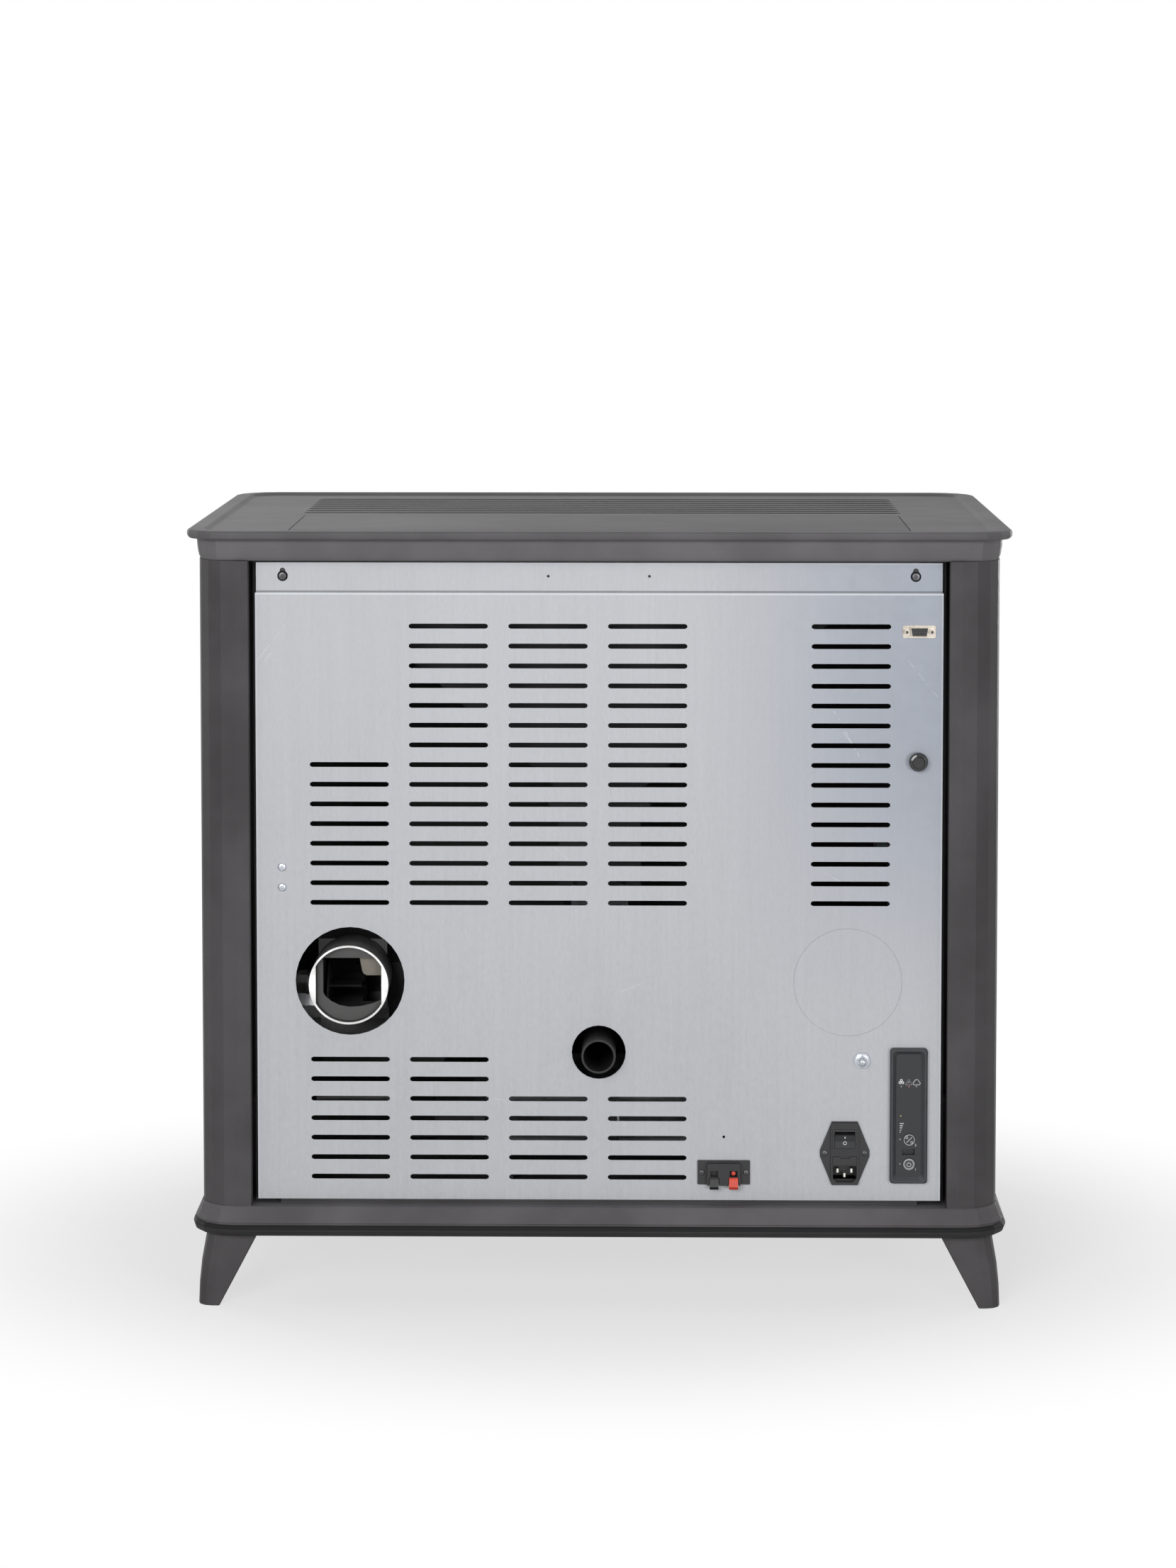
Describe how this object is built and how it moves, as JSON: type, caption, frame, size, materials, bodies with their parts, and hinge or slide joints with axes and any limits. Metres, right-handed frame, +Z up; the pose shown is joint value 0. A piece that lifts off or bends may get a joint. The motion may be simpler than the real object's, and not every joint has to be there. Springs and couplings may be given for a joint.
{
  "type": "pellet stove",
  "caption": "Free-standing wood-pellet stove: rounded steel sides, cast top with hopper lid and warm-air grille, glazed fire door, slotted galvanised rear panel with flue outlet.",
  "frame": {"origin": "centre of the footprint of the bounding box, on the floor under the feet", "axes": "+Z up, the fire door faces -Y, the slotted rear panel with the flue outlet faces +Y, +X to the right seen from the door side"},
  "size_m": [0.83, 0.574, 0.786],
  "materials": {
    "casting_paint": "fine-textured anthracite stove paint",
    "sheet_paint": "fine-textured anthracite powder coat",
    "galvanised_sheet": "galvanised",
    "bright_zinc": "bright zinc plate",
    "black_steel": "matt black heat-resistant paint",
    "cast_iron": "raw cast iron",
    "black_plastic": "moulded black",
    "red_plastic": "moulded red",
    "door_glass": "heat-resistant glass ceramic",
    "fire_liner": "pressed vermiculite",
    "gasket_rope": "braided glass-fibre rope",
    "brushed_aluminium": "die cast and brushed",
    "circuit_board": "green solder mask"
  },
  "bodies": {
    "cabinet": {"base_plinth": "casting_paint", "foot_rear_right": "casting_paint", "foot_rear_left": "casting_paint", "foot_front_right": "casting_paint", "foot_front_left": "casting_paint", "side_panel_right": "sheet_paint", "side_panel_left": "sheet_paint", "top_collar": "casting_paint", "top_plate": "casting_paint", "hopper_seal": "gasket_rope", "rear_panel": "galvanised_sheet", "panel_screw_right": "black_steel", "panel_screw_left": "black_steel", "side_screw_lower": "bright_zinc", "side_screw_upper": "bright_zinc", "chassis_frame": "black_steel", "front_fascia": "sheet_paint", "firebox": "black_steel", "fire_liner": "fire_liner", "burner_plenum": "black_steel", "igniter": "bright_zinc", "heat_exchanger": "cast_iron", "pellet_hopper": "galvanised_sheet", "hopper_front_plate": "galvanised_sheet", "hopper_rear_plate": "galvanised_sheet", "auger_housing": "galvanised_sheet", "auger_gearmotor": "brushed_aluminium", "exhaust_fan_housing": "black_steel", "exhaust_motor": "brushed_aluminium", "smoke_duct": "black_steel", "air_inlet_pipe": "black_steel", "room_fan_housing": "galvanised_sheet", "room_fan_motor": "black_steel", "board_bracket": "galvanised_sheet", "control_board": "circuit_board", "overheat_thermostat": "black_plastic", "serial_socket": "bright_zinc", "power_inlet": "black_plastic", "speaker_terminal": "black_plastic", "radio_module": "black_plastic", "earth_stud": "bright_zinc"},
    "lid": {"hopper_lid": "sheet_paint"},
    "door": {"fire_door": "casting_paint", "door_glass": "door_glass", "glass_retainer": "black_steel", "door_gasket": "gasket_rope", "door_handle": "brushed_aluminium"},
    "drawer": {"ash_drawer": "sheet_paint"},
    "pot": {"burn_pot": "cast_iron"},
    "auger": {"auger_screw": "bright_zinc"},
    "smoke_rotor": {"exhaust_impeller": "bright_zinc"},
    "air_rotor": {"room_fan_rotor": "brushed_aluminium"},
    "rocker": {"power_rocker": "black_plastic"},
    "fuse": {"fuse_drawer": "black_plastic"},
    "lever_black": {"terminal_lever_black": "black_plastic"},
    "lever_red": {"terminal_lever_red": "red_plastic"},
    "key_upper": {"radio_key_upper": "black_plastic"},
    "key_lower": {"radio_key_lower": "black_plastic"},
    "cap": {"thermostat_cap": "black_plastic"},
    "reset": {"reset_button": "red_plastic"}
  },
  "joints": [
    {"name": "lid_hinge", "type": "hinge", "parent": "cabinet", "child": "lid", "pos_m": [0, 0.2303, 0.7805], "axis": [-1, 0, 0], "range_deg": [0, 80]},
    {"name": "door_hinge", "type": "hinge", "parent": "cabinet", "child": "door", "pos_m": [-0.257, -0.2553, 0.4], "axis": [0, 0, -1], "range_deg": [0, 110]},
    {"name": "drawer_slide", "type": "slide", "parent": "cabinet", "child": "drawer", "axis": [0, -1, 0], "range_m": [0, 0.19]},
    {"name": "pot_lift", "type": "slide", "parent": "cabinet", "child": "pot", "axis": [0, 0, 1], "range_m": [0, 0.06]},
    {"name": "auger_spin", "type": "hinge", "parent": "cabinet", "child": "auger", "pos_m": [0, 0.165, 0.395], "axis": [0, -0.7071, 0.7071], "continuous": true},
    {"name": "smoke_rotor_spin", "type": "hinge", "parent": "cabinet", "child": "smoke_rotor", "pos_m": [0.25, 0.13, 0.279], "axis": [1, 0, 0], "continuous": true},
    {"name": "air_rotor_spin", "type": "hinge", "parent": "cabinet", "child": "air_rotor", "pos_m": [-0.02, 0.15, 0.1645], "axis": [1, 0, 0], "continuous": true},
    {"name": "rocker_tilt", "type": "hinge", "parent": "cabinet", "child": "rocker", "pos_m": [-0.2485, 0.2595, 0.1688], "axis": [1, 0, 0], "range_deg": [0, 20]},
    {"name": "fuse_slide", "type": "slide", "parent": "cabinet", "child": "fuse", "axis": [0, 1, 0], "range_m": [0, 0.022]},
    {"name": "lever_black_press", "type": "hinge", "parent": "cabinet", "child": "lever_black", "pos_m": [-0.1166, 0.2654, 0.1305], "axis": [-1, 0, 0], "range_deg": [0, 10], "stiffness_Nm_per_rad": 0.2, "springref_deg": -5.73},
    {"name": "lever_red_press", "type": "hinge", "parent": "cabinet", "child": "lever_red", "pos_m": [-0.1362, 0.2654, 0.1305], "axis": [-1, 0, 0], "range_deg": [0, 10], "stiffness_Nm_per_rad": 0.2, "springref_deg": -5.73},
    {"name": "key_upper_press", "type": "slide", "parent": "cabinet", "child": "key_upper", "axis": [0, -1, 0], "range_m": [0, 0.0004], "stiffness_N_per_m": 800, "springref_m": -0.0003},
    {"name": "key_lower_press", "type": "slide", "parent": "cabinet", "child": "key_lower", "axis": [0, -1, 0], "range_m": [0, 0.0004], "stiffness_N_per_m": 800, "springref_m": -0.0003},
    {"name": "cap_pull", "type": "slide", "parent": "cabinet", "child": "cap", "axis": [0, 1, 0], "range_m": [0, 0.014]},
    {"name": "reset_press", "type": "slide", "parent": "cabinet", "child": "reset", "axis": [0, -1, 0], "range_m": [0, 0.0015], "stiffness_N_per_m": 600, "springref_m": -0.001}
  ]
}
